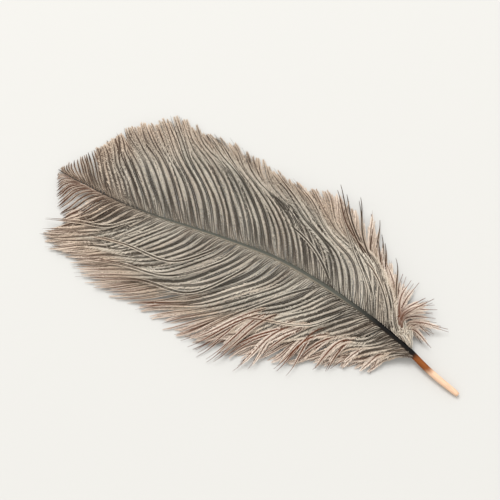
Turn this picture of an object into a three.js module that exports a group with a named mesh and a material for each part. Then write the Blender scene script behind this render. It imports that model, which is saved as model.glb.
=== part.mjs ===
// An ostrich feather that lies flat: a tapering shaft with a soft vane on each side.
// Millimetres, +Z up. +X runs along the shaft from the tip to the quill, and z = 0 is the surface
// that the feather lies on. The origin is at the middle of the feather's box, on that surface.
import * as THREE from 'three';

// ---- Driving dimensions ------------------------------------------------------------------------

// The shaft's centre line from the butt of the quill to the tip: [x, y, height of the centre].
const SHAFT_LINE = [
  [88.9, -5.0, 1.1], [76.0, -2.8, 1.9], [62.0, 0.8, 2.9], [38.0, 4.3, 3.9], [7.0, 5.5, 4.4],
  [-17.0, 2.1, 4.2], [-48.0, -3.8, 3.2], [-74.0, -6.0, 1.7], [-89.0, -5.7, 0.9],
];
// The shaft's radius: [share of its length from the butt, radius].
const SHAFT_RADII = [
  [0.0, 0.75], [0.008, 1.05], [0.05, 1.2], [0.16, 1.25], [0.32, 1.15], [0.5, 0.9], [0.7, 0.6],
  [0.88, 0.36], [0.985, 0.22], [1.0, 0.12],
];
const SHAFT_SIDES = 12;
const SHAFT_STEPS = 60;

// Each vane's edge from the quill to the tip: [x, y].
const LEFT_EDGE = [
  [67.0, -8.0], [55.0, -15.5], [44.0, -23.0], [26.0, -28.5], [8.0, -37.0], [-12.0, -40.5],
  [-32.0, -41.5], [-48.0, -40.0], [-62.0, -38.0], [-74.0, -34.5], [-80.0, -27.0], [-84.0, -17.0],
  [-88.5, -7.6],
];
const RIGHT_EDGE = [
  [73.5, 6.0], [72.0, 14.5], [64.0, 22.5], [50.0, 26.0], [37.0, 32.0], [26.0, 38.0], [8.0, 39.5],
  [-8.0, 41.2], [-28.0, 41.6], [-46.0, 40.4], [-62.0, 39.0], [-74.0, 27.5], [-81.0, 11.0], [-88.5, -3.8],
];
// Where on the shaft each vane begins and ends, as shares of the shaft's length from the butt.
const LEFT_SPAN = [0.125, 0.985];
const RIGHT_SPAN = [0.105, 0.985];

const VANE_GAP = 0.35; // between the shaft and a vane's inner edge
const VANE_ROOT_RISE = 1.2; // how far a vane's inner edge stands above the shaft's centre line
const VANE_CROWN_RISE = 1.6; // how much higher the vane swells a little way out from the shaft
const VANE_CROWN_PLACE = 0.3; // share of the vane's width where it is highest
const VANE_FULL_CROWN_HEIGHT = 3; // the shaft's height from which the vane swells by all of that
const VANE_EDGE_THICKNESS = 1.2; // at the barbs' tips
const VANE_STEPS_ALONG = 40;
const VANE_STEPS_ACROSS = 8;

// ---- Shaft -------------------------------------------------------------------------------------

const shaftCurve = new THREE.CatmullRomCurve3(
  SHAFT_LINE.map(([x, y, z]) => new THREE.Vector3(x, y, z)), false, 'centripetal',
);

// Reads a value between the rows of a [place, value] list.
function readList(list, place) {
  const last = list.findIndex(([p]) => p >= place);
  if (last <= 0) return list[0][1];
  const [p0, v0] = list[last - 1];
  const [p1, v1] = list[last];
  return THREE.MathUtils.lerp(v0, v1, (place - p0) / (p1 - p0));
}

// A point on the shaft's centre line with the level direction across it, towards +Y.
function shaftStation(share) {
  const centre = shaftCurve.getPointAt(share);
  const along = shaftCurve.getTangentAt(share);
  const across = new THREE.Vector3(along.y, -along.x, 0).normalize();
  const up = new THREE.Vector3().crossVectors(across, along).normalize();
  return { centre, across, up };
}

// The shaft is a lathe-turned taper, whose axis is then bent along the centre line.
function shaftGeometry() {
  const profile = [new THREE.Vector2(0, 0)];
  for (let i = 0; i <= SHAFT_STEPS; i += 1) {
    const share = i / SHAFT_STEPS;
    profile.push(new THREE.Vector2(readList(SHAFT_RADII, share), share));
  }
  profile.push(new THREE.Vector2(0, 1));
  const geometry = new THREE.LatheGeometry(profile, SHAFT_SIDES);
  const points = geometry.attributes.position;
  for (let i = 0; i < points.count; i += 1) {
    const { centre, across, up } = shaftStation(points.getY(i));
    centre.addScaledVector(across, points.getX(i)).addScaledVector(up, points.getZ(i));
    points.setXYZ(i, centre.x, centre.y, centre.z);
  }
  geometry.computeVertexNormals();
  return geometry;
}

// ---- Vanes -------------------------------------------------------------------------------------

// How high a vane's top stands at a share of its width, between the shaft and the barbs' tips.
function vaneTop(shaftHeight, across) {
  const root = shaftHeight + VANE_ROOT_RISE;
  const crown = root + VANE_CROWN_RISE * Math.min(1, shaftHeight / VANE_FULL_CROWN_HEIGHT);
  if (across < VANE_CROWN_PLACE) {
    return THREE.MathUtils.lerp(root, crown, Math.sin((across / VANE_CROWN_PLACE) * Math.PI * 0.5));
  }
  const outward = (across - VANE_CROWN_PLACE) / (1 - VANE_CROWN_PLACE);
  return THREE.MathUtils.lerp(VANE_EDGE_THICKNESS, crown, Math.cos(outward * Math.PI * 0.5));
}

// A vane is a divided box whose length runs along the shaft and whose width runs out to the edge
// curve. Its underside is flat on the surface, and its top swells and then thins to the edge.
function vaneGeometry(edge, [start, end], side) {
  const edgeCurve = new THREE.CatmullRomCurve3(
    edge.map(([x, y]) => new THREE.Vector3(x, y, 0)), false, 'centripetal',
  );
  const geometry = new THREE.BoxGeometry(1, 1, 1, VANE_STEPS_ALONG, VANE_STEPS_ACROSS, 1);
  const points = geometry.attributes.position;
  for (let i = 0; i < points.count; i += 1) {
    const along = 0.5 - side * points.getX(i);
    const across = points.getY(i) + 0.5;
    const share = THREE.MathUtils.lerp(start, end, along);
    const station = shaftStation(share);
    const inset = readList(SHAFT_RADII, share) + VANE_GAP;
    const inner = station.centre.clone().addScaledVector(station.across, side * inset);
    const outer = edgeCurve.getPointAt(along);
    const x = THREE.MathUtils.lerp(inner.x, outer.x, across);
    const y = THREE.MathUtils.lerp(inner.y, outer.y, across);
    const z = points.getZ(i) > 0 ? vaneTop(station.centre.z, across) : 0;
    points.setXYZ(i, x, y, z);
  }
  geometry.computeVertexNormals();
  return geometry;
}

// ---- The feather -------------------------------------------------------------------------------

function namedMesh(name, geometry, material) {
  const mesh = new THREE.Mesh(geometry, material);
  mesh.name = name;
  return mesh;
}

const horn = new THREE.MeshStandardMaterial({ color: 0x3a2c22, roughness: 0.45, metalness: 0 });
const down = new THREE.MeshStandardMaterial({ color: 0x8f8474, roughness: 0.9, metalness: 0 });

const feather = new THREE.Group();
feather.add(namedMesh('shaft', shaftGeometry(), horn));
feather.add(namedMesh('vane_left', vaneGeometry(LEFT_EDGE, LEFT_SPAN, -1), down));
feather.add(namedMesh('vane_right', vaneGeometry(RIGHT_EDGE, RIGHT_SPAN, 1), down));

export default feather;
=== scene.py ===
"""An ostrich feather that lies flat: a horn shaft, free barbs with their barbules, and a plain stage.

The lists below are millimetres in the feather's own frame, with +X from the tip to the quill and
+Z up. Blender's objects are in metres, in the same frame.
"""

import math

import bmesh
import bpy
import numpy as np
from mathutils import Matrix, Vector


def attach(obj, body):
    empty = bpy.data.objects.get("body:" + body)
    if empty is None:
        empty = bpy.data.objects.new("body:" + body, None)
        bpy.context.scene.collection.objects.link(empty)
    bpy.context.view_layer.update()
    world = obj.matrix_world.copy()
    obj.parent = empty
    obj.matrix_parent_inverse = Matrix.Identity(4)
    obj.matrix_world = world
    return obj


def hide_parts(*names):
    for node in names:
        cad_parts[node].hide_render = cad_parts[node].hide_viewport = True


bl_info = {
    "name": "Ostrich Feather",
    "version": (1, 0, 0),
    "blender": (4, 5, 0),
    "location": "View3D > Sidebar > Feather",
    "description": "Builds a loose ostrich feather around its packed frame",
    "category": "Add Mesh",
}

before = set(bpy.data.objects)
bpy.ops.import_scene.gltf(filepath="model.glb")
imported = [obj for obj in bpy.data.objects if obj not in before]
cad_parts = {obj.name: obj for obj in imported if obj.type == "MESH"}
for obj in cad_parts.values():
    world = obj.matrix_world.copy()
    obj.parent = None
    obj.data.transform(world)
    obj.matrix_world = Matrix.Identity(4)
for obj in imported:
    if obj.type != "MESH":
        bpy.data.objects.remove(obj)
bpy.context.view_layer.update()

MM = 0.001
FIBRE_UV = "OFBake"  # a fibre's map: across is warmth of colour, up is from rib to barbule tip

# ---- The shaft's line and thickness ------------------------------------------------------------

# The shaft's centre line from the butt of the quill to the tip: (x, y, height of the centre).
SHAFT_LINE = [
    (88.9, -5.0, 1.1), (76.0, -2.8, 1.9), (62.0, 0.8, 2.9), (38.0, 4.3, 3.9), (7.0, 5.5, 4.4),
    (-17.0, 2.1, 4.2), (-48.0, -3.8, 3.2), (-74.0, -6.0, 1.7), (-89.0, -5.7, 0.9),
]
# (share of the shaft's length from the butt, radius)
SHAFT_RADII = [
    (0.0, 0.75), (0.008, 1.05), (0.05, 1.2), (0.16, 1.25), (0.32, 1.15), (0.5, 0.9), (0.7, 0.6),
    (0.88, 0.36), (0.985, 0.22), (1.0, 0.12),
]

# ---- Guide barbs -------------------------------------------------------------------------------

# Each guide is a barb's root on the shaft, by its x, and then points (x, y) out to its tip. The barbs
# between two guides take a shape between theirs.
RIGHT_GUIDES = [
    (-88, (-88.5, -5.5), (-89, -5)),
    (-81, (-84.5, -5), (-86.5, -4), (-88, -2)),
    (-75, (-79, -3), (-82.5, 0), (-85, 3)),
    (-64, (-69, -1), (-75, 5), (-81, 11)),
    (-54, (-60, 1), (-67, 7), (-79, 17)),
    (-43, (-49, 4), (-57, 10), (-65, 16), (-77, 24)),
    (-32, (-38, 6), (-45, 13), (-61, 24), (-70, 31)),
    (-19, (-24, 9), (-31, 16), (-38, 21), (-48, 27), (-62, 39)),
    (-6, (-11, 12), (-17, 18), (-30, 28), (-40, 32), (-52, 39)),
    (21, (17, 12), (12, 18), (5, 23), (-14, 31), (-27, 41)),
    (35, (30, 12), (24, 18), (17, 22), (-1, 30), (-14, 40)),
    (47, (44, 11), (39, 18), (31, 23), (14, 31), (2, 41)),
    (56, (52, 8), (48, 15), (43, 20), (28, 30), (17, 41)),
    (61, (57, 5), (50, 17), (46, 22), (41, 28)),
]
LEFT_GUIDES = [
    (-88, (-88.5, -6.5), (-88.5, -7.5)),
    (-80, (-82, -7), (-84.5, -9), (-86, -12)),
    (-70, (-73, -7), (-77, -11), (-79, -16), (-80, -20)),
    (-62, (-65, -11), (-68, -16), (-75, -25)),
    (-51, (-54, -11), (-58, -17), (-65, -23), (-80, -32)),
    (-37, (-41, -10), (-51, -22), (-60, -26), (-75, -35)),
    (-24, (-27, -8), (-38, -20), (-49, -25), (-66, -36)),
    (-10, (-13, -6), (-25, -21), (-35, -26), (-59, -39)),
    (17, (13, -4), (7, -11), (-8, -26), (-25, -40)),
    (30, (25, -4), (12, -19), (5, -26), (-8, -39)),
    (43, (37, -5), (24, -18), (18, -24), (9, -37)),
    (53, (48, -5), (36, -14), (31, -20), (26, -27)),
    (61, (57, -4), (48, -12), (44, -17), (42, -22)),
    (68, (64, -3), (60, -6), (58, -10), (56, -15)),
]
# Barbs that lie across the others.
LEFT_STRAYS = [
    (-46, (-50, -9), (-57, -17), (-69, -21), (-81, -26)),
    (-14, (-19, -7), (-28, -17), (-49, -20), (-75, -27)),
    (-8, (-12, -7), (-26, -22), (-45, -27), (-63, -33)),
    (0, (-4, -7), (-16, -24), (-36, -29), (-54, -39)),
    (39, (36, -3), (29, -12), (12, -19), (2, -23)),
    (25, (21, 0), (12, -11), (0, -26), (-7, -37)),
]
RIGHT_STRAYS = [
    (29, (24, 10), (12, 17), (-7, 22), (-19, 25)),
    (48, (44, 10), (31, 22), (20, 32), (16, 42)),
    (57, (52, 10), (38, 25), (31, 34), (29, 40)),
    (55, (50, 10), (38, 20), (20, 24)),
    (45, (41, 11), (27, 24), (13, 39)),
]
# Fluffy barb ends stand out from each vane's edge near the quill. Keyed by the vane's side.
FRINGE_ROOTS = {-1: (26.0, 67.5), 1: (50.0, 61.0)}  # the first and the last lock's root, by its x
FRINGE_LOCKS = {-1: 17, 1: 13}
FRINGE_SWAY = {-1: -3.0, 1: 1.0}  # mm by which a lock leaves the guides' course to its left midway
FRINGE_HOOK = {-1: 3.5, 1: -3.5}  # mm, the same at its tip
# The loose tuft at the quill end of the right vane.
TUFT = [
    (61, (57, 5), (54, 9), (48, 20), (40, 28)),
    (62, (58, 5), (55, 9), (50, 21), (49, 26)),
    (62, (58, 6), (53, 16), (53, 25)),
    (63, (59, 5), (56, 9), (55, 16), (56, 26)),
    (63, (59, 5), (56, 9), (57, 14), (61, 22)),
    (63.5, (59, 5), (57, 9), (59, 14), (64, 23)),
    (63.5, (60, 5), (57, 9), (59, 14), (67, 20)),
    (64, (60, 4.5), (58, 9), (60, 12), (68, 17)),
    (64.5, (61.5, 4.5), (60, 8), (62.5, 10.5), (74, 15)),
    (65, (62.5, 4), (61, 7.5), (63, 10), (69.5, 9.5)),
    (64.5, (62, 4.5), (61.5, 6.5), (63.5, 7.5), (72, 5.5)),
]

# ---- Lines -------------------------------------------------------------------------------------

BARB_POINTS = 26  # along each barb
SHARE = np.linspace(0.0, 1.0, BARB_POINTS)  # of a barb's length, at each of its points
FINE_STEPS = 24  # between two given points of a line, before it is divided evenly


def at_equal_steps(points, count):
    """Takes count points at equal distances along a line of points."""
    along = np.concatenate([[0.0], np.cumsum(np.linalg.norm(np.diff(points, axis=0), axis=1))])
    places = np.linspace(0.0, along[-1], count)
    return np.stack([np.interp(places, along, axis) for axis in points.T], axis=1)


def hermite(t, start, leave, end, arrive):
    """The cubic from start to end with the slopes leave and arrive, at t between 0 and 1."""
    return ((2 * t**3 - 3 * t**2 + 1) * start + (t**3 - 2 * t**2 + t) * leave
            + (3 * t**2 - 2 * t**3) * end + (t**3 - t**2) * arrive)


def smooth_line(points, count):
    """A centripetal Catmull-Rom curve through the points, as count points at equal distances."""
    p = np.asarray(points, float)
    p = np.vstack([2 * p[0] - p[1], p, 2 * p[-1] - p[-2]])
    gaps = np.sqrt(np.linalg.norm(np.diff(p, axis=0), axis=1))
    t = np.linspace(0.0, 1.0, FINE_STEPS, endpoint=False)[:, None]
    stretches = []
    for k in range(1, len(p) - 2):
        before, here, after = gaps[k - 1], gaps[k], gaps[k + 1]
        leave = (p[k] - p[k - 1]) / before - (p[k + 1] - p[k - 1]) / (before + here)
        leave = (leave + (p[k + 1] - p[k]) / here) * here
        arrive = (p[k + 1] - p[k]) / here - (p[k + 2] - p[k]) / (here + after)
        arrive = (arrive + (p[k + 2] - p[k + 1]) / after) * here
        stretches.append(hermite(t, p[k], leave, p[k + 1], arrive))
    return at_equal_steps(np.vstack(stretches + [p[-2:-1]]), count)


def ease(low, high, value):
    """0 below low, 1 above high, and a smooth rise between."""
    t = np.clip((value - low) / (high - low), 0.0, 1.0)
    return t * t * (3 - 2 * t)


SHAFT_POINTS = smooth_line(SHAFT_LINE, 240)


def on_shaft(x):
    """The shaft's centre (x, y, z) at the given x values, as rows."""
    line = SHAFT_POINTS[::-1]
    return np.stack([np.interp(x, line[:, 0], line[:, axis]) for axis in range(3)], axis=-1)


def radius_along(share):
    """The shaft's radius at the given shares of its length from the butt."""
    places, radii = np.array(SHAFT_RADII).T
    return np.interp(share, places, radii)


def shaft_radius(x):
    """The shaft's radius at the given x values."""
    shares = np.linspace(1.0, 0.0, len(SHAFT_POINTS))
    return radius_along(np.interp(x, SHAFT_POINTS[::-1, 0], shares))


def guide_curve(guide):
    """One guide barb in plan, from the shaft's centre line to its tip."""
    root = on_shaft(guide[0])[:2]
    return smooth_line([root, *guide[1:]], BARB_POINTS)


# ---- Settings ----------------------------------------------------------------------------------


def length(name, text, default_mm, low_mm=0.0, high_mm=100.0):
    """A property for a length, stored in metres."""
    return bpy.props.FloatProperty(
        name=name, description=text, default=default_mm * MM, min=low_mm * MM, max=high_mm * MM,
        subtype="DISTANCE", unit="LENGTH", precision=5,
    )


def colour(name, text, default):
    """A property for a scene-linear colour."""
    return bpy.props.FloatVectorProperty(
        name=name, description=text, default=default, min=0.0, max=1.0, size=3, subtype="COLOR",
    )


class FeatherShaftSettings(bpy.types.PropertyGroup):
    """Sizes and colours of the shaft."""

    groove: bpy.props.FloatProperty(
        name="Groove", description="Depth of the groove along the rachis, as a share of its radius",
        default=0.3, min=0.0, max=0.8, subtype="FACTOR",
    )
    quill: colour("Quill", "The bare quill's pale horn", (0.84, 0.56, 0.38))
    rust: colour("Rust", "The band where the quill darkens", (0.25, 0.075, 0.018))
    black: colour("Black", "The rachis near the quill", (0.004, 0.0035, 0.003))
    grey: colour("Grey", "The rachis's groove at mid length", (0.075, 0.077, 0.062))
    flank: colour("Flank", "The rachis's paler flank", (0.34, 0.29, 0.22))
    brown: colour("Brown", "The rachis towards its tip", (0.045, 0.033, 0.025))


class FeatherVaneSettings(bpy.types.PropertyGroup):
    """Sizes and colours of the barbs and barbules."""

    barb_radius: length("Barb radius", "Radius of a barb near its root", 0.21)
    barbule_pitch: length("Barbule pitch", "Distance between barbules along one side of a barb", 0.2, 0.05)
    barbule_length: length("Barbule length", "Length of a barbule at the middle of a barb", 1.75)
    barbule_width: length("Barbule width", "Mean width of a barbule", 0.2)
    crown: length("Crown", "How far the barbs rise between the shaft and their tips", 2.0)
    rib_cool: colour("Rib, cool", "A barb's rib near the shaft", (0.062, 0.054, 0.042))
    rib_brown: colour("Rib, brown", "A barb's rib in its outer part", (0.068, 0.038, 0.023))
    rib_rust: colour("Rib, rust", "A barb's rib at a rusty tip", (0.155, 0.052, 0.022))
    barbule_cool: colour("Barbule, cool", "Barbules near the shaft", (0.67, 0.61, 0.51))
    barbule_brown: colour("Barbule, tan", "Barbules in a barb's outer part", (0.67, 0.53, 0.405))
    barbule_rust: colour("Barbule, peach", "Barbules at a rusty tip", (0.85, 0.745, 0.635))


class FeatherStageSettings(bpy.types.PropertyGroup):
    """The floor and the camera."""

    floor: colour("Floor", "The floor's colour", (0.55, 0.545, 0.525))
    azimuth: bpy.props.FloatProperty(
        name="Azimuth", description="The camera's direction round the feather",
        default=math.radians(31.0), subtype="ANGLE", unit="ROTATION",
    )
    elevation: bpy.props.FloatProperty(
        name="Elevation", description="The camera's height above the floor as an angle",
        default=math.radians(70.0), subtype="ANGLE", unit="ROTATION",
    )
    distance: length("Distance", "From the camera to its target", 435.0, 50.0, 2000.0)


# ---- Materials ---------------------------------------------------------------------------------


def new_material(name, roughness):
    """A material with one Principled shader. Returns the material, its nodes, links and shader."""
    material = bpy.data.materials.new(name)
    material.use_nodes = True
    nodes, links = material.node_tree.nodes, material.node_tree.links
    shader = nodes["Principled BSDF"]
    shader.inputs["Roughness"].default_value = roughness
    return material, nodes, links, shader


def add_map(nodes, links, name):
    """Reads a UV map. Returns the sockets of its place, its u and its v."""
    uv = nodes.new("ShaderNodeUVMap")
    uv.uv_map = name
    split = nodes.new("ShaderNodeSeparateXYZ")
    links.new(uv.outputs["UV"], split.inputs["Vector"])
    return uv.outputs["UV"], split.outputs["X"], split.outputs["Y"]


def add_ramp(nodes, links, value, stops):
    """Colours a value by stops of (place, colour or grey value). Returns the colour's socket."""
    node = nodes.new("ShaderNodeValToRGB")
    elements = node.color_ramp.elements
    while len(elements) < len(stops):
        elements.new(1.0)
    for element, (place, shade) in zip(elements, stops):
        element.position = place
        rgb = tuple(shade) if hasattr(shade, "__len__") else (shade,) * 3
        element.color = (*rgb, 1.0)
    links.new(value, node.inputs["Fac"])
    return node.outputs["Color"]


def add_mix(nodes, links, factor, first, second, blend="MIX"):
    """Mixes two colour outputs and returns the result's socket. factor is a number or an output."""
    node = nodes.new("ShaderNodeMix")
    node.data_type = "RGBA"
    node.blend_type = blend
    if hasattr(factor, "links"):
        links.new(factor, node.inputs["Factor"])
    else:
        node.inputs["Factor"].default_value = factor
    links.new(first, node.inputs[6])
    links.new(second, node.inputs[7])
    return node.outputs[2]


def fibre_material(vane):
    """The barbs' and barbules' finish. Its map's u is warmth and its v runs from rib to tip, kept lower on
    barbules with painted shade.
    """
    material, nodes, links, shader = new_material("feather_fibres", 0.7)
    shader.inputs["Specular IOR Level"].default_value = 0.2
    _, warmth, outward = add_map(nodes, links, FIBRE_UV)
    rib = add_ramp(nodes, links, warmth, [
        (0.0, vane.rib_cool), (0.5, vane.rib_brown), (1.0, vane.rib_rust),
    ])
    barbule = add_ramp(nodes, links, warmth, [
        (0.0, vane.barbule_cool), (0.5, vane.barbule_brown), (1.0, vane.barbule_rust),
    ])
    share = add_ramp(nodes, links, outward, [
        (0.04, 0.0), (0.16, 0.08), (0.36, 0.5), (0.62, 0.74), (1.0, 1.0),
    ])
    links.new(add_mix(nodes, links, share, rib, barbule), shader.inputs["Base Color"])
    return material


def shaft_material(shaft):
    """Horn that runs from a pale quill through rust and black to grey, with fine streaks."""
    material, nodes, links, shader = new_material("feather_horn", 0.5)
    shader.inputs["Specular IOR Level"].default_value = 0.1
    place, along, around = add_map(nodes, links, "Along")
    crown = add_ramp(nodes, links, along, [
        (0.0, shaft.quill), (0.066, shaft.quill), (0.08, shaft.rust), (0.108, shaft.rust),
        (0.122, shaft.black), (0.215, shaft.black), (0.32, shaft.grey), (0.72, shaft.grey),
        (0.86, shaft.brown), (1.0, shaft.brown),
    ])
    flank = add_ramp(nodes, links, along, [
        (0.0, shaft.quill), (0.07, shaft.quill), (0.085, shaft.rust), (0.114, shaft.rust),
        (0.126, shaft.brown), (0.215, shaft.brown), (0.34, shaft.flank), (0.66, shaft.flank),
        (0.84, shaft.brown), (1.0, shaft.brown),
    ])
    side = add_ramp(nodes, links, around, [(0.30, 0.0), (0.40, 1.0)])
    mixed = add_mix(nodes, links, side, crown, flank)
    streak = nodes.new("ShaderNodeTexNoise")
    streak.inputs["Scale"].default_value = 1.0
    streak.inputs["Detail"].default_value = 3.0
    stretch = nodes.new("ShaderNodeMapping")
    stretch.inputs["Scale"].default_value = (60.0, 26.0, 1.0)
    links.new(place, stretch.inputs["Vector"])
    links.new(stretch.outputs["Vector"], streak.inputs["Vector"])
    shade = add_ramp(nodes, links, streak.outputs["Fac"], [(0.3, 0.72), (0.7, 1.0)])
    links.new(add_mix(nodes, links, 1.0, mixed, shade, "MULTIPLY"), shader.inputs["Base Color"])
    bump = nodes.new("ShaderNodeBump")
    bump.inputs["Strength"].default_value = 0.3
    bump.inputs["Distance"].default_value = 0.05 * MM
    links.new(streak.outputs["Fac"], bump.inputs["Height"])
    links.new(bump.outputs["Normal"], shader.inputs["Normal"])
    return material


# ---- Shaft -------------------------------------------------------------------------------------

SHAFT_SIDES = 20
SHAFT_RINGS = 170
GROOVE_START, GROOVE_FULL = 0.16, 0.34  # shares of the length over which the groove deepens
GROOVE_SPREAD = math.radians(28.0)


def shaft_section(angle, share, groove):
    """How far the shaft's skin is from its axis, as a share of its radius."""
    depth = groove * float(ease(GROOVE_START, GROOVE_FULL, share))
    off_top = (angle - math.pi / 2) / GROOVE_SPREAD
    return 1.0 - depth * math.exp(-off_top * off_top)


def build_shaft(settings):
    """The shaft: a ring that is pushed along the centre line, ring by ring."""
    line = smooth_line(SHAFT_LINE, SHAFT_RINGS) * MM
    along = np.gradient(line, axis=0)
    along /= np.linalg.norm(along, axis=1, keepdims=True)
    shaft = bmesh.new()
    bmesh.ops.create_circle(shaft, cap_ends=True, segments=SHAFT_SIDES, radius=1.0)
    ring = sorted(shaft.verts, key=lambda v: math.atan2(v.co.y, v.co.x) % math.tau)
    angles = [math.atan2(v.co.y, v.co.x) % math.tau for v in ring]
    rings = []
    for i, (centre, ahead) in enumerate(zip(line, along)):
        share = i / (SHAFT_RINGS - 1)
        radius = float(radius_along(share)) * MM
        across = Vector((ahead[1], -ahead[0], 0.0)).normalized()
        up = across.cross(Vector(ahead)).normalized()
        if i:
            loop = {e for v in ring for e in v.link_edges if e.other_vert(v) in ring}
            made = bmesh.ops.extrude_edge_only(shaft, edges=list(loop))["geom"]
            new = {v for v in made if isinstance(v, bmesh.types.BMVert)}
            ring = [next(e.other_vert(v) for e in v.link_edges if e.other_vert(v) in new) for v in ring]
        for vertex, angle in zip(ring, angles):
            reach = radius * shaft_section(angle, share, settings.groove)
            vertex.co = Vector(centre) + across * (reach * math.cos(angle)) + up * (reach * math.sin(angle))
        rings.append(ring)
    bmesh.ops.contextual_create(shaft, geom=[e for e in shaft.edges if e.is_boundary])
    uv = shaft.loops.layers.uv.new("Along")
    where = {v: (i / (SHAFT_RINGS - 1), a / math.tau) for i, r in enumerate(rings) for v, a in zip(r, angles)}
    for face in shaft.faces:
        turns = [where[loop.vert][1] for loop in face.loops]
        wraps = max(turns) - min(turns) > 0.5
        for loop, turn in zip(face.loops, turns):
            loop[uv].uv = (where[loop.vert][0], turn + (1.0 if wraps and turn < 0.5 else 0.0))
        face.smooth = True
    bmesh.ops.recalc_face_normals(shaft, faces=shaft.faces[:])
    mesh = bpy.data.meshes.new("shaft_horn")
    shaft.to_mesh(mesh)
    shaft.free()
    mesh.materials.append(shaft_material(settings))
    return add_piece("shaft_horn", mesh, "shaft")


def add_piece(name, mesh, node):
    """Links a finished mesh, which rides on the body and stands for a node of the frame."""
    piece = bpy.data.objects.new(name, mesh)
    bpy.context.scene.collection.objects.link(piece)
    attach(piece, "root")
    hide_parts(node)
    return piece


# ---- Barbs -------------------------------------------------------------------------------------

LEAST_HEIGHT = 0.3  # mm from the floor to the middle of a loose barb
LONG_BARB = 40.0  # mm; a barb shorter than this waves less
RIPPLE_HEIGHTS = np.array([[0.55], [0.4], [0.3]])


class Barbs:
    """Barbs of one vane: points and radius in mm, warmth, cover, and the barbules' reach and tone, which
    holds painted shade.
    """

    def __init__(self):
        self.values = ([], [], [], [], [], [])

    def add(self, points, radius, warmth, cover, reach, tone_and_shade):
        """Adds one barb. Reach and tone have a column for each of its sides, left and right."""
        for kept, value in zip(self.values, (points, radius, warmth, cover, reach, tone_and_shade)):
            kept.append(value)

    def add_even(self, curve, rise, radius, warmth, cover, reach, tone_and_shade):
        """Adds one barb that is alike on both sides, by its line in plan and its heights."""
        points = np.column_stack([curve, np.maximum(rise, LEAST_HEIGHT)])
        self.add(points, radius, warmth, cover, *(np.column_stack([a, a]) for a in (reach, tone_and_shade)))

    def arrays(self, keep):
        """The kept barbs' values, as one array of each kind."""
        return [np.array([kept[i] for i in keep]) for kept in self.values]


def between_guides(roots, curves, x):
    """The curve in plan of a barb rooted at x, from the guides on either side of it."""
    here = int(np.clip(np.searchsorted(roots, x) - 1, 0, len(roots) - 2))
    t = np.clip((x - roots[here]) / (roots[here + 1] - roots[here]), 0.0, 1.0)
    before, after = curves[max(here - 1, 0)], curves[min(here + 2, len(curves) - 1)]
    low, high = curves[here], curves[here + 1]
    return hermite(t, low, (high - before) / 2, high, (after - low) / 2)


def line_length(line):
    """The length of a line of points."""
    return float(np.linalg.norm(np.diff(line, axis=0), axis=1).sum())


def sideways(curve):
    """Unit vectors across a curve in plan, to its left."""
    along = np.gradient(curve, axis=0)
    along /= np.maximum(np.linalg.norm(along, axis=1, keepdims=True), 1e-9)
    return np.stack([-along[:, 1], along[:, 0]], axis=1)


def shift_across(curve, offsets):
    """Moves a curve's points to its left by the given distances."""
    return curve + sideways(curve) * offsets[:, None]


def start_at(curve, root, hold):
    """Moves a curve's start to the root, and each point by its share of that move in hold."""
    return curve + (root - curve[0]) * hold[:, None]


def freedom(span):
    """How freely a barb of this length waves: 1 for a long barb and less for a short one."""
    return min(1.0, span / LONG_BARB)


def ripple(rng, slow=0.6, quick=2.4):
    """A smooth random wave along a barb, between about -1 and 1."""
    turns = rng.uniform(slow, quick, len(RIPPLE_HEIGHTS))
    starts = rng.uniform(0.0, math.tau, len(RIPPLE_HEIGHTS))
    waves = np.sin(math.tau * turns[:, None] * SHARE[None] + starts[:, None])
    return (waves * RIPPLE_HEIGHTS).sum(axis=0)


def cut_short(line, share):
    """The first part of a line, as the same number of points."""
    fine = at_equal_steps(line, 8 * BARB_POINTS)
    return at_equal_steps(fine[: max(8, int(len(fine) * share))], BARB_POINTS)


def root_hold(root_x):
    """How far out from the shaft's middle a barb takes hold, as a share of the shaft's radius."""
    return 0.8 - 0.08 * float(ease(20.0, 50.0, root_x))


def root_place(root_x, side):
    """Where a barb takes hold of the shaft, in plan."""
    return on_shaft(root_x)[:2] + np.array([0.0, side * shaft_radius(root_x) * root_hold(root_x)])


def heights(root_x, span, crown, tip_height):
    """Heights along a barb: up from the shaft's flank, over a crown and down to its tip."""
    root = on_shaft(root_x)[2] + math.sqrt(1 - root_hold(root_x) ** 2) * shaft_radius(root_x)
    swell = crown * min(1.0, span / 30.0) * np.sin(np.pi * SHARE**0.75) ** 0.9
    return root + (tip_height - root) * ease(0.0, 1.0, SHARE) + swell


def vane_warmth(side, root_x, rng):
    """How brown a barb is at each share of its length: 0 is cool grey and 1 is rust and peach."""
    if side > 0:
        edge = np.interp(root_x, [-90, -55, -25, 30, 48, 60], [0.6, 0.55, 0.4, 0.4, 0.6, 0.9])
        start = np.interp(root_x, [-90, -60, 0, 40, 60], [0.35, 0.5, 0.6, 0.55, 0.2])
        base = np.interp(root_x, [-90, -75, -60, -45, 45, 60], [0.6, 0.5, 0.25, 0.08, 0.05, 0.2])
    else:
        edge = np.interp(root_x, [-90, -60, -20, 10, 30, 70], [0.8, 0.7, 0.8, 0.95, 1.0, 0.95])
        start = np.interp(root_x, [-90, -60, -20, 10, 30, 70], [0.0, 0.3, 0.5, 0.5, 0.45, 0.25])
        base = np.interp(root_x, [-90, -72, -58, -45, 20, 45, 65], [0.8, 0.75, 0.35, 0.1, 0.02, 0.12, 0.25])
    rise = base + (edge - base) * ease(start, 1.0, SHARE)
    return np.clip(rise + rng.normal(0.0, 0.05) + 0.05 * ripple(rng), 0.0, 1.0)


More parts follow.
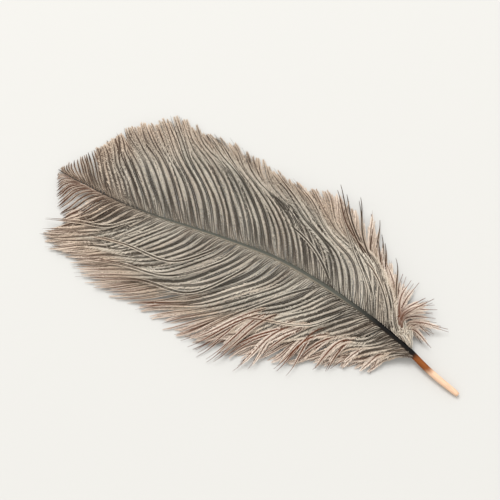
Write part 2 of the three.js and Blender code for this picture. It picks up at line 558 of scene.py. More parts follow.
def vane_cover(side, root_x, rng):
    """How pale a bundle's barbules are at each share of its length, between 0 and 1."""
    if side > 0:
        mean = np.interp(root_x, [-90, -70, 20, 40, 52, 62], [0.45, 0.45, 0.45, 0.85, 0.95, 0.95])
        mean = mean * ease(-0.3, 0.35, SHARE)
        mean = mean - (mean - 0.4) * 0.8 * ease(0.5, 0.8, SHARE) * (1 - ease(50.0, 58.0, root_x))
    else:
        outer = np.interp(root_x, [-90, -60, 0, 25, 50, 70], [0.45, 0.75, 0.9, 0.8, 0.95, 0.95])
        mean = 0.4 + (outer - 0.4) * ease(0.15, 0.6, SHARE)
    return np.clip(mean + 0.45 * ripple(rng), 0.0, 1.0)


ROOT_PITCH = 1.06  # mm between barbs along the shaft
SINGLE_BEFORE = -66.0  # barbs rooted nearer the tip than this stand alone
MERGE_LENGTH = 4.0  # mm over which a bundle's barbs draw together
MERGED_GAP = 0.34  # mm between the barbs of a bundle
SWEEP_OVER = 28.0  # the right vane's barbs rooted past this sweep over the others
UNDER_FROM = 4.0  # and those rooted between this and SWEEP_OVER lie under them
DRIFT_WAVES = 5


def place_bundles(first, last, rng):
    """The roots' x of the barbs, in bundles, from the quill to the tip."""
    bundles, x = [], last
    while x > first:
        count = 1 if x < SINGLE_BEFORE else int(rng.choice([2, 2, 3]))
        members = []
        for _ in range(count):
            members.append(x)
            x -= ROOT_PITCH * (1.25 if count == 1 else 1.0) * rng.uniform(0.85, 1.15)
        bundles.append(members)
    return bundles


def make_drift(rng):
    """A smooth random field that bends neighbouring barbs alike, read by the x of a barb's root."""
    across = rng.uniform(1 / 55.0, 1 / 24.0, DRIFT_WAVES)[:, None]
    along = (rng.uniform(0.5, 2.2, DRIFT_WAVES) * rng.choice([-1.0, 1.0], DRIFT_WAVES))[:, None]
    starts = rng.uniform(0.0, math.tau, DRIFT_WAVES)[:, None]

    def drift(x):
        return np.sin(math.tau * (across * x + along * SHARE) + starts).mean(axis=0)

    return drift


LOCK_SIZES = (2, 6)  # bundles in a lock: at least the first, and fewer than the second
LOCK_CALM = {-1: 0.5, 1: 0.75}  # how much less the locks near the tip wave, by the vane's side
FILLER_MARGIN = 22.0  # mm of the tip that has no filling barbs
FILLER_PITCH = 1.3  # mm between the barbs that fill out a vane's edge
FILLER_LIFT = -0.4  # mm
FILLER_FLUFF = {-1: 0.65, 1: 1.0}  # the length of their barbules, as a share
STRAY_LIFT = 1.6  # mm by which a stray lies over the other barbs
STRAY_ARCH = 2.2  # mm more at the tip of a stray that ends on the vane and not at its edge
STRAY_FLUFF = 0.4
FRINGE_BARBS = 4  # barbs in each lock of a fringe
SPIKE_EVERY = 2  # one right lock in so many has a dark, bare barb that sticks out


def add_lock(barbs, side, bundles, shapes, drift, vane, rng):
    """Neighbouring bundles, which draw together towards their tips."""
    middle = np.mean(shapes, axis=0)
    calm = 1.0 - LOCK_CALM[side] * float(ease(0.0, 30.0, SWEEP_OVER - bundles[0][0]))
    pull = rng.uniform(0.0, 0.3) * calm
    lift = rng.normal(0.0, 0.35)
    for members, shape in zip(bundles, shapes):
        x = members[0]
        curve = shape + (middle - shape) * (pull * SHARE**2.2)[:, None]
        loose = float(ease(15.0, 40.0, x)) if side < 0 else 0.9 * float(ease(30.0, 44.0, x))
        waves = 2.4 * math.sqrt(calm) + 2.0 * loose
        wander = (waves * drift(x) + (0.45 + 0.35 * loose) * ripple(rng, 1.0, 3.0)) * SHARE**0.8
        wander = wander + rng.normal(0.0, 0.7) * (0.35 + 0.65 * calm) * SHARE**2
        wander = wander * freedom(line_length(curve)) ** 1.5
        curve = shift_across(curve, wander - wander[0])
        under = side > 0 and UNDER_FROM < x < SWEEP_OVER
        short = rng.random() < (0.45 if under else 0.25) * float(ease(-64.0, -35.0, x))
        share = rng.uniform(0.6, 0.88) if short else rng.uniform(1.0 - 0.08 * calm, 1.0)
        over = float(ease(SWEEP_OVER - 4, SWEEP_OVER + 4, x)) if side > 0 else 0.0
        add_bundle(barbs, side, members, cut_short(curve, share), lift + over, vane, rng)


def add_filler(barbs, side, x, shape, drift, vane, rng):
    """A single barb under the others, with barbules only near its tip."""
    wander = (1.5 * drift(x) + 0.5 * ripple(rng, 1.0, 3.0)) * SHARE**0.8
    wander = wander + rng.normal(0.0, 0.8) * SHARE**2
    curve = cut_short(shift_across(shape, wander - wander[0]), rng.uniform(0.94, 1.0))
    fluff = FILLER_FLUFF[side] * ease(0.58, 0.72, SHARE)
    add_bundle(barbs, side, [x], curve, FILLER_LIFT, vane, rng, fluff)


def add_stray(barbs, side, stray, vane, rng):
    """Two barbs that lie across the others."""
    members = [stray[0], stray[0] - ROOT_PITCH]
    inside = abs(stray[-1][1]) < 25.0 and stray[-1][0] > -60.0
    lift = STRAY_LIFT + (STRAY_ARCH if inside else 0.0) * SHARE**1.5
    add_bundle(barbs, side, members, guide_curve(stray), lift, vane, rng, STRAY_FLUFF)


def grow_vane(side, guides, strays, vane, rng):
    """All the barbs of a vane: locks of bundles, fillers, strays and the fringe."""
    roots = np.array([g[0] for g in guides])
    curves = np.array([guide_curve(g) for g in guides])
    bundles = place_bundles(roots[0], roots[-1], rng)
    shapes = [between_guides(roots, curves, np.mean(members)) for members in bundles]
    drift = make_drift(rng)
    barbs = Barbs()
    first = 0
    while first < len(bundles):
        last = first + int(rng.integers(*LOCK_SIZES))
        add_lock(barbs, side, bundles[first:last], shapes[first:last], drift, vane, rng)
        first = last
    for x in np.arange(roots[0] + FILLER_MARGIN, roots[-1], FILLER_PITCH):
        x = x + rng.uniform(-0.5, 0.5) * FILLER_PITCH
        add_filler(barbs, side, x, between_guides(roots, curves, x), drift, vane, rng)
    for stray in strays:
        add_stray(barbs, side, stray, vane, rng)
    for number, x in enumerate(np.linspace(*FRINGE_ROOTS[side], FRINGE_LOCKS[side])):
        course = fringe_course(side, between_guides(roots, curves, x), rng)
        for copy in range(FRINGE_BARBS):
            spike = side > 0 and copy == 0 and number % SPIKE_EVERY == 0
            add_fringe_barb(barbs, side, x, course, spike, vane, rng)
    return barbs


FRINGE_SPREAD = {-1: 0.9, 1: 1.4}  # mm by which a lock's barbs part towards their tips
FRINGE_LIFT = {-1: 1.2, 1: 0.0}  # mm by which each side's fringe lies over its other barbs
SPIKE_LIFT = 1.6  # mm, the same for a spike
FRINGE_WARMTH = {-1: 0.85, 1: 0.7}
FRINGE_COVER = {-1: 0.6, 1: 0.95}
DARK_WARMTH, BOLD_COVER = 0.45, 0.1
# By kind: the share of its course that a barb follows, its breadth, and its barbules' reach at the last
# four of REACH_SHARES. A bold barb shows a broad dark rib, and a spike is bold and barer.
REACH_SHARES = (0.0, 0.35, 0.5, 0.76, 0.92, 1.0)
FRINGE_KINDS = {
    "spike": ((1.0, 1.0), (1.1, 1.6), (0.4, 0.3, 0.0, 0.0)),
    "bold": ((0.93, 1.0), (1.1, 1.6), (0.55, 0.5, 0.12, 0.0)),
    "soft": ((0.8, 0.95), (0.6, 0.9), (0.9, 0.9, 0.45, 0.0)),
}


def fringe_course(side, course, rng):
    """A lock's line in plan: it sways off the guides' course and hooks over at its tip."""
    bend = FRINGE_SWAY[side] * rng.uniform(-0.2, 1.9) * np.sin(np.pi * SHARE**0.8)
    bend = bend + FRINGE_HOOK[side] * rng.uniform(0.0, 1.9) * ease(0.5, 1.0, SHARE)
    return shift_across(course, bend * freedom(line_length(course)))


def fringe_kind(side, root, spike, rng):
    """Whether a fringe's barb is a spike, bold or soft."""
    chance = 0.1 if side > 0 else 0.5 - 0.3 * float(ease(45.0, 58.0, root))
    kind = "bold" if rng.random() < chance else "soft"
    return "spike" if spike else kind


def add_fringe_barb(barbs, side, root, course, spike, vane, rng):
    """One barb of a fluffy lock, which runs hidden under the others until near its end."""
    spread = rng.normal(0.0, FRINGE_SPREAD[side]) * ease(0.35, 1.0, SHARE) + 0.35 * ripple(rng, 1.0, 2.5)
    curve = shift_across(course, spread - spread[0])
    kind = fringe_kind(side, root, spike, rng)
    kept, breadth, fluff = FRINGE_KINDS[kind]
    curve = cut_short(curve, rng.uniform(*kept))
    root_x = root + rng.uniform(-1.5, 1.5)
    span = line_length(curve)
    curve = start_at(curve, root_place(root_x, side), np.exp(-SHARE * span / MERGE_LENGTH))
    rise = heights(root_x, span, 0.8 * vane.crown / MM, rng.uniform(0.6, 2.2))
    rise = rise + rng.normal(0.0, 0.3) * SHARE
    over = ease(0.35, 0.6, SHARE) * (1 - 0.8 * ease(0.7, 1.0, SHARE))
    lift = SPIKE_LIFT if spike else FRINGE_LIFT[side]
    rise = rise + lift * over - 0.9 * (1 - ease(0.3, 0.5, SHARE))
    bold = kind != "soft"
    dark = bold and side > 0
    taper = (0.9, 0.35) if dark else (0.7, 0.2)
    radius = vane.barb_radius / MM * rng.uniform(*breadth)
    radius = radius * np.interp(SHARE, [0, 0.45, 0.6, 0.85, 1], [0.7, 0.8, 1, *taper])
    outside = rng.normal(DARK_WARMTH if dark else FRINGE_WARMTH[side], 0.1)
    warmth = 0.15 + (outside - 0.15) * ease(0.35, 0.65, SHARE) + (0.0 if dark else 0.15) * SHARE
    reach = np.interp(SHARE, REACH_SHARES, [0.0, 0.0, *fluff])
    cover = np.clip((BOLD_COVER if bold else FRINGE_COVER[side]) + 0.3 * ripple(rng), 0.0, 1.0)
    barbs.add_even(curve, rise, radius, np.clip(warmth, 0.0, 1.0), cover, reach, np.ones(BARB_POINTS))


BLUNT_PAST = 10.0  # the left vane's barbs rooted past this are blunt, as all of the right vane's are


def barbule_sides(side, mean, out, alone):
    """Reach and tone of the barbules on a bundle's outer sides, and of those between its barbs, whose tone is
    painted shade.
    """
    fine = float(ease(-89.0, -72.0, mean))
    near_tip = float(ease(40.0, 55.0, -mean))
    far = np.interp(out, [0.0, 0.6, 3.0, 9.0 - 3.0 * near_tip], [0.2, 0.42, 0.55 + 0.15 * near_tip, 1.0])
    fill = 1.0 if side > 0 else 0.55
    near = np.interp(out, [0.0, 3.0, 7.0], [0.42, 0.34, 0.14]) + 0.6 * fill * ease(0.5, 0.8, SHARE)
    # Painted shade: barbules between a bundle's barbs darken as the barbs draw together, and lighten where
    # they part near the tip or at the base.
    between_shade = np.interp(out, [0.0, 3.0, 7.0], [1.0, 0.85, 0.4])
    between_shade = between_shade + (1 - between_shade) * fill * ease(0.5 if side > 0 else 0.65, 0.85, SHARE)
    if side < 0:
        outer = 1 - 0.6 * float(ease(40.0, 60.0, mean)) * (1 - ease(2.0, 8.0, out))
        outer = outer * (1 - 0.28 * float(ease(-45.0, -5.0, mean)) * ease(0.6, 0.85, SHARE))
    else:
        at_base = float(ease(28.0, 42.0, mean))
        between_shade = between_shade + (1 - between_shade) * 0.6 * at_base
        outer = 0.84 + 0.14 * at_base * (1 - ease(0.45, 0.75, SHARE))
        outer = outer - 0.14 * float(ease(-30.0, 5.0, mean)) * ease(0.35, 0.65, SHARE)
    soft = 1 - 0.34 * np.exp(-out / 7.0)
    outer, between_shade = outer * soft, between_shade * soft
    if alone and mean < SINGLE_BEFORE:
        far = (0.28 + 0.08 * fine) * (0.3 + 0.7 * ease(0.3, 2.5, out)) * (1.15 - 0.5 * SHARE)
        outer = 0.3 + 0.3 * ease(0.5, 2.5, out) + 0.2 * SHARE
    return (far, outer), (near, between_shade)


def shape_end(side, mean, bare, radius, rng):
    """How a barb ends: the share of its barbules' reach that is left, and its radius."""
    blunt = side > 0 or mean > BLUNT_PAST
    full_to = 0.85 if blunt else 0.75
    tip = np.interp(SHARE, [0.0, full_to, 0.96, 1.0], [1.0, 1.0, 0.9, rng.uniform(0.3, 0.8)])
    if not blunt:
        tip = tip * np.interp(SHARE, [0.75, 1.0], [1.0, 0.4])
    if bare:
        tip = np.interp(SHARE, [0.0, 0.74, 0.86, 0.92, 1.0], [1.0, 1.0, 0.5, 0.05, 0.0])
        radius = radius * np.interp(SHARE, [0.7, 0.8, 1.0], [1.0, 1.35, 1.0])
    if side < 0 and rng.random() < 0.45 * float(ease(-55.0, -20.0, mean)):  # a broad, brown end
        tip = tip * np.interp(SHARE, [0.5, 0.7], [1.0, 0.6])
        radius = radius * np.interp(SHARE, [0.55, 0.75, 0.95], [1.0, 1.7, 1.3])
    return tip, radius


def add_bundle(barbs, side, members, curve, lift, vane, rng, fluff=1.0):
    """Barbs that leave the shaft one by one and draw together a little way out."""
    span = line_length(curve)
    near_root = np.exp(-SHARE * span / MERGE_LENGTH)
    tip_height = rng.uniform(0.5, 1.6)
    alone = len(members) == 1
    mean = float(np.mean(members))
    fine = float(ease(-89.0, -72.0, mean))  # the barbs at the very tip are finer
    near_tip = float(ease(40.0, 55.0, -mean))
    cover = vane_cover(side, mean, rng)
    outside, between = barbule_sides(side, mean, SHARE * span, alone)
    for i, root_x in enumerate(members):
        offset = (i - (len(members) - 1) / 2) * MERGED_GAP
        splay = offset * (1 + rng.uniform(0.0, 2.0) * ease(0.6, 1.0, SHARE)) + rng.normal(0.0, 0.12)
        line = start_at(shift_across(curve, side * splay), root_place(root_x, side), near_root)
        bare = rng.random() < (0.35 if side * mean > 30.0 else 0.2)
        if not bare:
            line = cut_short(line, rng.uniform(0.95, 0.99))
        rise = heights(mean, span, vane.crown / MM, tip_height) + lift * ease(0.05, 0.3, SHARE)
        rise = rise + 0.22 * freedom(span) * ripple(rng) * ease(0.0, 0.2, SHARE)
        thick = vane.barb_radius / MM * rng.uniform(0.8, 1.1)
        if alone:
            thick = thick * (0.6 + 1.1 * fine * near_tip)
        if side > 0:
            thick = thick * (1 - 0.25 * float(ease(30.0, 45.0, mean)))
        slim = 0.3 if alone else 0.5
        radius = thick * (1 - slim + slim * (1 - SHARE) ** 0.8) * np.interp(SHARE, [0.88, 1.0], [1.0, 0.3])
        tip, radius = shape_end(side, mean, bare, radius, rng)
        quillward = outside if i == 0 else between
        tipward = outside if i == len(members) - 1 else between
        sides = (quillward, tipward) if side < 0 else (tipward, quillward)
        reach = np.column_stack([s[0] for s in sides]) * (tip * fluff)[:, None]
        # Their tone, with painted shade on the sides that face another barb of the bundle.
        tone_and_shade = np.column_stack([s[1] for s in sides])
        points = np.column_stack([line, np.maximum(rise, radius + 0.1)])
        barbs.add(points, radius, vane_warmth(side, root_x, rng), cover, reach, tone_and_shade)


TUFT_COPIES = 5  # barbs from each of its guides
TUFT_JITTER = 1.6  # mm by which the copies' tips part
TUFT_RADIUS, TUFT_COPY_RADIUS = 0.2, 0.15  # mm, of the first barb and of its copies
TUFT_SHARES = (0.0, 0.3, 0.4, 0.6, 0.8, 0.9, 1.0)
TUFT_REACH = (0.0, 0.0, 0.5, 0.9, 0.55, 0.0, 0.0)  # of the barbules, at TUFT_SHARES
DOWN_BARBS = 34
DOWN_ROOTS = (58.0, 67.0)  # the x between which the down is rooted
DOWN_MIDDLE = (58.2, 6.4)  # mm, the middle of the downy patch in plan
DOWN_SPREAD = (2.4, 2.0)  # mm


def grow_tuft(vane, rng):
    """The loose barbs at the quill end, and the down over their stems."""
    barbs = Barbs()
    for guide in TUFT:
        for copy in range(TUFT_COPIES):
            add_tuft_barb(barbs, guide, copy, rng)
    for _ in range(DOWN_BARBS):
        add_down_barb(barbs, vane, rng)
    return barbs


def add_tuft_barb(barbs, guide, copy, rng):
    """One short barb, bare at the root and rusty to its peach tip."""
    root_x = guide[0]
    jitter = rng.normal(0.0, TUFT_JITTER, 2)
    curve = guide_curve(guide) + SHARE[:, None] ** 1.5 * jitter * (copy > 0)
    curve = start_at(curve, root_place(root_x, 1), np.exp(-SHARE * 8))
    if copy:
        curve = cut_short(curve, rng.uniform(0.7, 1.0))
    root = on_shaft(root_x)[2]
    rise = root + 2.2 * np.sin(np.pi * SHARE**0.8) + rng.uniform(-1.0, 1.0) * SHARE
    rise = rise - (root - 1.5) * ease(0.2, 1.0, SHARE) - 1.2 * (1 - ease(0.25, 0.45, SHARE))
    bent = float(ease(64.2, 64.9, root_x)) * (1 - ease(0.4, 0.58, SHARE))  # pale up to its bend
    radius = (TUFT_COPY_RADIUS if copy else TUFT_RADIUS) * (0.45 + 0.55 * (1 - SHARE) ** 0.7)
    radius = radius * (1 - 0.5 * bent)
    warmth = np.clip(0.8 + 0.2 * SHARE - 0.7 * bent + rng.normal(0.0, 0.08), 0.0, 1.0)
    reach = np.interp(SHARE, TUFT_SHARES, TUFT_REACH) * (1.15 - 0.35 * float(ease(61.0, 65.0, root_x)))
    cover = np.clip(0.55 + 0.3 * ripple(rng) + 0.6 * bent, 0.0, 1.0)
    tone_and_shade = np.interp(SHARE, [0.35, 0.5, 0.68], [0.15, 0.4, 1.0]) + 0.5 * bent
    barbs.add_even(curve, rise, radius, warmth, cover, reach, tone_and_shade)


def add_down_barb(barbs, vane, rng):
    """One short, pale barb of the downy patch over the tuft's stems."""
    root_x = rng.uniform(*DOWN_ROOTS)
    root = root_place(root_x, 1)
    end = np.array(DOWN_MIDDLE) + rng.normal(0.0, 1.0, 2) * DOWN_SPREAD
    middle = (root + end) / 2 + rng.normal(0.0, 0.7, 2)
    beyond = end + rng.normal(0.0, 1.2, 2) + (end - middle) * 0.3
    curve = smooth_line([root, middle, end, beyond], BARB_POINTS)
    beside = on_shaft(curve[:, 0])[:, 1] + (0.8 + 0.9 * SHARE) * shaft_radius(curve[:, 0])
    curve[:, 1] = np.maximum(curve[:, 1], beside)
    root_height = on_shaft(root_x)[2]
    rise = root_height + 2.4 * np.sin(np.pi * SHARE**0.8) * rng.uniform(0.5, 1.1) - 0.6 * SHARE
    radius = 0.4 * vane.barb_radius / MM * (0.4 + 0.6 * (1 - SHARE))
    warmth = np.full(BARB_POINTS, rng.uniform(0.0, 0.3))
    reach = np.interp(SHARE, [0.0, 0.3, 0.8, 1.0], [0.1, 0.5, 0.7, 0.3]) * rng.uniform(0.7, 1.1)
    cover = np.clip(0.8 + 0.4 * ripple(rng), 0.0, 1.0)
    barbs.add_even(curve, rise, radius, warmth, cover, reach, np.ones(BARB_POINTS))


# ---- Fibre meshes ------------------------------------------------------------------------------

RIB_SIDES = 3
MAP_STEP = 0.007  # the least width that a face takes on the fibres' map


def frames(points):
    """Unit vectors along, across and up from lines of points (..., point, xyz)."""
    along = np.gradient(points, axis=-2)
    along /= np.maximum(np.linalg.norm(along, axis=-1, keepdims=True), 1e-9)
    across = np.cross(along, [0.0, 0.0, 1.0])
    across /= np.maximum(np.linalg.norm(across, axis=-1, keepdims=True), 1e-9)
    return along, across, np.cross(across, along)


def rib_arrays(points, radius, warmth, cover):
    """Tapered closed tubes along the barbs: vertices, triangles and each vertex's map place."""
    barbs, steps = points.shape[:2]
    _, across, up = frames(points)
    turn = np.arange(RIB_SIDES) * math.tau / RIB_SIDES + math.pi / 2
    ring = (across[:, :, None] * np.cos(turn)[None, None, :, None]
            + up[:, :, None] * np.sin(turn)[None, None, :, None])
    vertices = points[:, :, None] + ring * radius[:, :, None, None]
    index = np.arange(barbs * steps * RIB_SIDES).reshape(barbs, steps, RIB_SIDES)
    a, b = index[:, :-1], index[:, 1:]
    a_next, b_next = np.roll(a, -1, axis=2), np.roll(b, -1, axis=2)
    skin = np.stack([np.stack([a, b, b_next], -1), np.stack([a, b_next, a_next], -1)], axis=-2)
    caps = np.stack([index[:, 0], index[:, -1, ::-1]], axis=1)
    triangles = np.vstack([skin.reshape(-1, 3), caps.reshape(-1, 3)])
    u = warmth[:, :, None] * (1 - 4 * MAP_STEP) + MAP_STEP * (np.arange(steps) % 2)[None, :, None]
    u = u + MAP_STEP * (np.arange(RIB_SIDES) == 1)[None, None, :] + MAP_STEP
    out = np.linalg.norm(points[:, :, :2] - points[:, :1, :2], axis=2)
    bright_root = 1 - ease(15.0, 40.0, points[:, :1, 0])
    pale = 0.02 + 0.16 * cover**2 + (0.1 * np.exp(-out / 0.9) + 0.2 * np.exp(-out / 6.0)) * bright_root
    v = pale[:, :, None] + MAP_STEP * np.arange(RIB_SIDES)[None, None, :]
    return vertices.reshape(-1, 3), triangles, np.stack([u, v], -1).reshape(-1, 2)


BARBULE_SPREAD = (math.radians(60.0), math.radians(36.0))  # from the barb, at a barbule's root and tip
BARBULE_DROOP = math.radians(11.0)
BARBULE_BEND = 0.4  # the share of its length where a barbule is widest and bends
BLADE = np.array([[0, 1, 2], [3, 2, 1], [0, 3, 1], [0, 2, 3]])  # root, two middle corners, tip
# The distance between barbules in pitches, by their reach. Next to none stand where it is under 0.1.
SPACING_REACH = (0.02, 0.08, 0.12, 0.25, 0.5, 1.0)
SPACING = (40, 40, 1.6, 0.9, 0.8, 1.1)


def scatter_barbules(points, reach, pitch, rng):
    """Where the barbules stand: their barb, place along it, and side (0 is left and 1 is right)."""
    gaps = np.linalg.norm(np.diff(points, axis=1), axis=2)
    barb, place, side = [], [], []
    for i, gap in enumerate(gaps):
        for s in (0, 1):
            local = (reach[i, :-1, s] + reach[i, 1:, s]) / 2
            spacing = pitch * np.interp(local, SPACING_REACH, SPACING)
            weight = np.concatenate([[0.0], np.cumsum(gap / spacing)])
            count = int(weight[-1])
            stops = (np.arange(count) + rng.uniform(0.0, 1.0, count)) * (weight[-1] / max(count, 1))
            barb.append(np.full(count, i))
            place.append(np.interp(stops, weight, np.arange(len(weight))))
            side.append(np.full(count, s))
    return np.concatenate(barb), np.concatenate(place), np.concatenate(side)


def barbule_arrays(points, radius, warmth, cover, reach, tone_and_shade, vane, rng):
    """Barbules on both sides of the barbs, as thin closed blades that bend at the middle."""
    pitch, full, width = (v / MM for v in (vane.barbule_pitch, vane.barbule_length, vane.barbule_width))
    along, across, up = frames(points)
    barb, place, side = scatter_barbules(points, reach, pitch, rng)
    low = np.minimum(place.astype(int), points.shape[1] - 2)
    t = place - low

    def read(values):
        mix = t.reshape(-1, *[1] * (values.ndim - 2))
        return values[barb, low] * (1 - mix) + values[barb, low + 1] * mix

    root, ahead, over, above = read(points), read(along), read(across), read(up)
    warm, covered = read(warmth), read(cover)
    count = len(root)
    # depth is the barbules' tone, which holds the painted shade between a bundle's barbs.
    local, depth = (np.take_along_axis(read(a), side[:, None], 1)[:, 0] for a in (reach, tone_and_shade))
    size = full * local * rng.uniform(0.7, 1.2, count)
    tilt = rng.normal(-BARBULE_DROOP, math.radians(11.0), count)
    hand = side * 2.0 - 1.0
    out = over * (hand * np.cos(tilt))[:, None] + above * np.sin(tilt)[:, None]
    closing = 1 - 0.6 * ease(0.88, 1.0, place / (points.shape[1] - 1))
    first, last = ((a + rng.normal(0.0, math.radians(9.0), count)) * closing for a in BARBULE_SPREAD)
    lean = ahead * np.cos(first)[:, None] + out * np.sin(first)[:, None]
    sweep = ahead * np.cos(last)[:, None] + out * np.sin(last)[:, None]
    root = root + (out * 0.6 - above * 0.5) * read(radius)[:, None]
    middle = root + lean * (size * BARBULE_BEND)[:, None]
    tip = middle + sweep * (size * (1 - BARBULE_BEND))[:, None]
    flat = np.cross(sweep, above) * hand[:, None]
    flat /= np.maximum(np.linalg.norm(flat, axis=1, keepdims=True), 1e-9)
    half = (width / 2 * rng.uniform(0.6, 1.5, count))[:, None]
    lift = above * 0.04
    vertices = np.stack([root, middle + flat * half + lift, middle - flat * half + lift, tip], 1)
    vertices[:, :, 2] = np.maximum(vertices[:, :, 2], 0.05)
    flip = (hand < 0)[:, None, None]
    blade = np.where(flip, BLADE[None, :, ::-1], BLADE[None])
    triangles = (np.arange(count) * 4)[:, None, None] + blade
    # Painted shade: a low tone keeps the barbules between a bundle's barbs near the dark rib colour.
    pale = rng.uniform(0.78, 1.0, count) * depth
    start = 0.1 + 0.3 * covered * depth
    half_way = np.maximum((0.35 + 0.6 * covered) * pale, start + 0.02)
    ends = np.maximum(0.97 * pale, half_way + 0.02)
    u = warm * (1 - 4 * MAP_STEP) + 2 * MAP_STEP
    shift = np.array([0.0, 1.0, -1.0, 0.0]) * MAP_STEP
    uv = np.stack([u[:, None] + shift[None], np.stack([start, half_way, half_way, ends], 1)], axis=-1)
    return vertices.reshape(-1, 3), triangles.reshape(-1, 3), uv.reshape(-1, 2)


def fibre_piece(name, node, barbs, keep, vane, material, rng):
    """Joins the kept barbs and their barbules in one mesh."""
    points, radius, warmth, cover, reach, tone_and_shade = barbs.arrays(keep)
    ribs, rib_faces, rib_map = rib_arrays(points, radius, warmth, cover)
    blades, blade_faces, blade_map = barbule_arrays(
        points, radius, warmth, cover, reach, tone_and_shade, vane, rng
    )
    vertices = np.vstack([ribs, blades]) * MM
    triangles = np.vstack([rib_faces, blade_faces + len(ribs)])
    uvs = np.vstack([rib_map, blade_map])
    mesh = bpy.data.meshes.new(name)
    mesh.vertices.add(len(vertices))
    mesh.vertices.foreach_set("co", vertices.astype(np.float32).ravel())
    mesh.loops.add(triangles.size)
    mesh.loops.foreach_set("vertex_index", triangles.astype(np.int32).ravel())
    mesh.polygons.add(len(triangles))
    mesh.polygons.foreach_set("loop_start", np.arange(0, triangles.size, 3, dtype=np.int32))
    layer = mesh.uv_layers.new(name=FIBRE_UV)
    layer.data.foreach_set("uv", uvs[triangles.ravel()].astype(np.float32).ravel())
    smooth = np.arange(len(triangles)) < len(rib_faces)  # the ribs are round, the blades are flat
    mesh.polygons.foreach_set("use_smooth", smooth)
    mesh.update(calc_edges=True)
    mesh.materials.append(material)
    return add_piece(name, mesh, node)


THIRDS = ("tip", "middle", "base")
# By side: name, guides, strays and seed.
VANES = {
    -1: ("left", LEFT_GUIDES, LEFT_STRAYS, 11),
    1: ("right", RIGHT_GUIDES, RIGHT_STRAYS, 23),
}
TUFT_SEED = 37


def build_vane(side, vane, material):
    """One vane in three pieces, from the tip to the quill."""
    name, guides, strays, seed = VANES[side]
    rng = np.random.default_rng(seed)
    barbs = grow_vane(side, guides, strays, vane, rng)
    roots = np.array([p[0, 0] for p in barbs.values[0]])
    lengths = np.array([line_length(p) for p in barbs.values[0]])
    order = np.argsort(roots, kind="stable")
    filled = np.cumsum(lengths[order]) / lengths.sum()
    for third, label in enumerate(THIRDS):
        keep = order[(filled > third / 3) & (filled <= (third + 1) / 3 + 1e-9)]
        fibre_piece(f"barbs_{name}_{label}", f"vane_{name}", barbs, keep, vane, material, rng)


# ---- Operators ---------------------------------------------------------------------------------


def shared_fibres(context):
    """The fibres' material, made once."""
    found = bpy.data.materials.get("feather_fibres")
    return found or fibre_material(context.scene.feather_vane)


class FEATHER_OT_shaft(bpy.types.Operator):
    """Build the quill and rachis as one tapering rod of horn"""

    bl_idname = "feather.shaft"
    bl_label = "Shaft"

    def execute(self, context):
        build_shaft(context.scene.feather_shaft)
        return {"FINISHED"}


class FEATHER_OT_left_vane(bpy.types.Operator):
    """Build the left vane's barbs and barbules"""

    bl_idname = "feather.left_vane"
    bl_label = "Left Vane"

    def execute(self, context):
        build_vane(-1, context.scene.feather_vane, shared_fibres(context))
        return {"FINISHED"}


class FEATHER_OT_right_vane(bpy.types.Operator):
    """Build the right vane's barbs and barbules"""

    bl_idname = "feather.right_vane"
    bl_label = "Right Vane"

    def execute(self, context):
        build_vane(1, context.scene.feather_vane, shared_fibres(context))
        return {"FINISHED"}


class FEATHER_OT_tuft(bpy.types.Operator):
    """Build the loose tuft at the quill end of the right vane"""

    bl_idname = "feather.tuft"
    bl_label = "Quill Tuft"

    def execute(self, context):
        vane = context.scene.feather_vane
        rng = np.random.default_rng(TUFT_SEED)
        barbs = grow_tuft(vane, rng)
        keep = np.arange(len(barbs.values[0]))
        fibre_piece("barbs_tuft", "vane_right", barbs, keep, vane, shared_fibres(context), rng)
        return {"FINISHED"}


CAMERA_TARGET = Vector((-6.13, 3.98, 2.0)) * MM
SENSOR_WIDTH = 36.0  # mm
LENS = 81.2  # mm
FLOOR_SIZE = 3.0  # metres
LIGHT_PLACE = Vector((-0.8, 0.8, 2.0))  # metres
LIGHT_SIZE = 1.1
LIGHT_POWER = 37.0
WORLD_COLOUR = (1.0, 0.99, 0.97, 1.0)
WORLD_STRENGTH = 1.05


def add_key_light():
    """A square soft light that faces the feather's middle."""
    light = bpy.data.lights.new("key", "AREA")
    light.shape = "SQUARE"
    light.size = LIGHT_SIZE
    light.energy = LIGHT_POWER
    lamp = bpy.data.objects.new("key", light)
    lamp.location = LIGHT_PLACE
    lamp.rotation_euler = (-LIGHT_PLACE).to_track_quat("-Z", "Y").to_euler()
    bpy.context.scene.collection.objects.link(lamp)


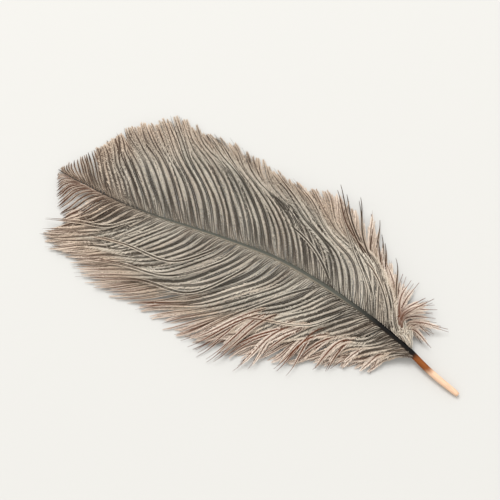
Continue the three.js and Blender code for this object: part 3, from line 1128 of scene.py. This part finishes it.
class FEATHER_OT_stage(bpy.types.Operator):
    """Build the floor, the light and the camera"""

    bl_idname = "feather.stage"
    bl_label = "Stage"

    def execute(self, context):
        stage = context.scene.feather_stage
        plane = bmesh.new()
        bmesh.ops.create_grid(plane, x_segments=1, y_segments=1, size=FLOOR_SIZE)
        mesh = bpy.data.meshes.new("floor")
        plane.to_mesh(mesh)
        plane.free()
        material, _, _, shader = new_material("floor", 0.9)
        shader.inputs["Base Color"].default_value = (*stage.floor, 1.0)
        mesh.materials.append(material)
        floor = bpy.data.objects.new("floor", mesh)
        context.scene.collection.objects.link(floor)
        world = bpy.data.worlds.new("studio")
        world.use_nodes = True
        background = world.node_tree.nodes["Background"]
        background.inputs["Color"].default_value = WORLD_COLOUR
        background.inputs["Strength"].default_value = WORLD_STRENGTH
        context.scene.world = world
        add_key_light()
        camera_data = bpy.data.cameras.new("camera")
        camera_data.sensor_width = SENSOR_WIDTH
        camera_data.lens = LENS
        camera = bpy.data.objects.new("camera", camera_data)
        a, e = stage.azimuth, stage.elevation
        back = Vector((math.sin(a) * math.cos(e), -math.cos(a) * math.cos(e), math.sin(e)))
        camera.location = CAMERA_TARGET + back * stage.distance
        camera.rotation_euler = (-back).to_track_quat("-Z", "Y").to_euler()
        context.scene.collection.objects.link(camera)
        context.scene.camera = camera
        context.scene.view_settings.view_transform = "Standard"
        return {"FINISHED"}


class FEATHER_PT_panel(bpy.types.Panel):
    """The feather's pieces and settings in the sidebar"""

    bl_idname = "FEATHER_PT_panel"
    bl_label = "Ostrich Feather"
    bl_space_type = "VIEW_3D"
    bl_region_type = "UI"
    bl_category = "Feather"

    def draw(self, context):
        for group in SETTINGS:
            settings = getattr(context.scene, group)
            box = self.layout.box()
            for name in settings.__annotations__:
                box.prop(settings, name)
        for operator in OPERATORS:
            self.layout.operator(operator.bl_idname)


SETTINGS = {
    "feather_shaft": FeatherShaftSettings,
    "feather_vane": FeatherVaneSettings,
    "feather_stage": FeatherStageSettings,
}
OPERATORS = (
    FEATHER_OT_stage, FEATHER_OT_shaft, FEATHER_OT_left_vane, FEATHER_OT_right_vane, FEATHER_OT_tuft,
)
CLASSES = (*SETTINGS.values(), *OPERATORS, FEATHER_PT_panel)


def register():
    """Registers the add-on's classes and its settings."""
    for cls in CLASSES:
        bpy.utils.register_class(cls)
    for name, cls in SETTINGS.items():
        setattr(bpy.types.Scene, name, bpy.props.PointerProperty(type=cls))


def unregister():
    """Removes the settings and the classes again."""
    for name in SETTINGS:
        delattr(bpy.types.Scene, name)
    for cls in reversed(CLASSES):
        bpy.utils.unregister_class(cls)


def main():
    """Builds the stage and the feather."""
    register()
    bpy.ops.feather.stage()
    bpy.ops.feather.shaft()
    bpy.ops.feather.left_vane()
    bpy.ops.feather.right_vane()
    bpy.ops.feather.tuft()


if __name__ == "__main__":
    main()
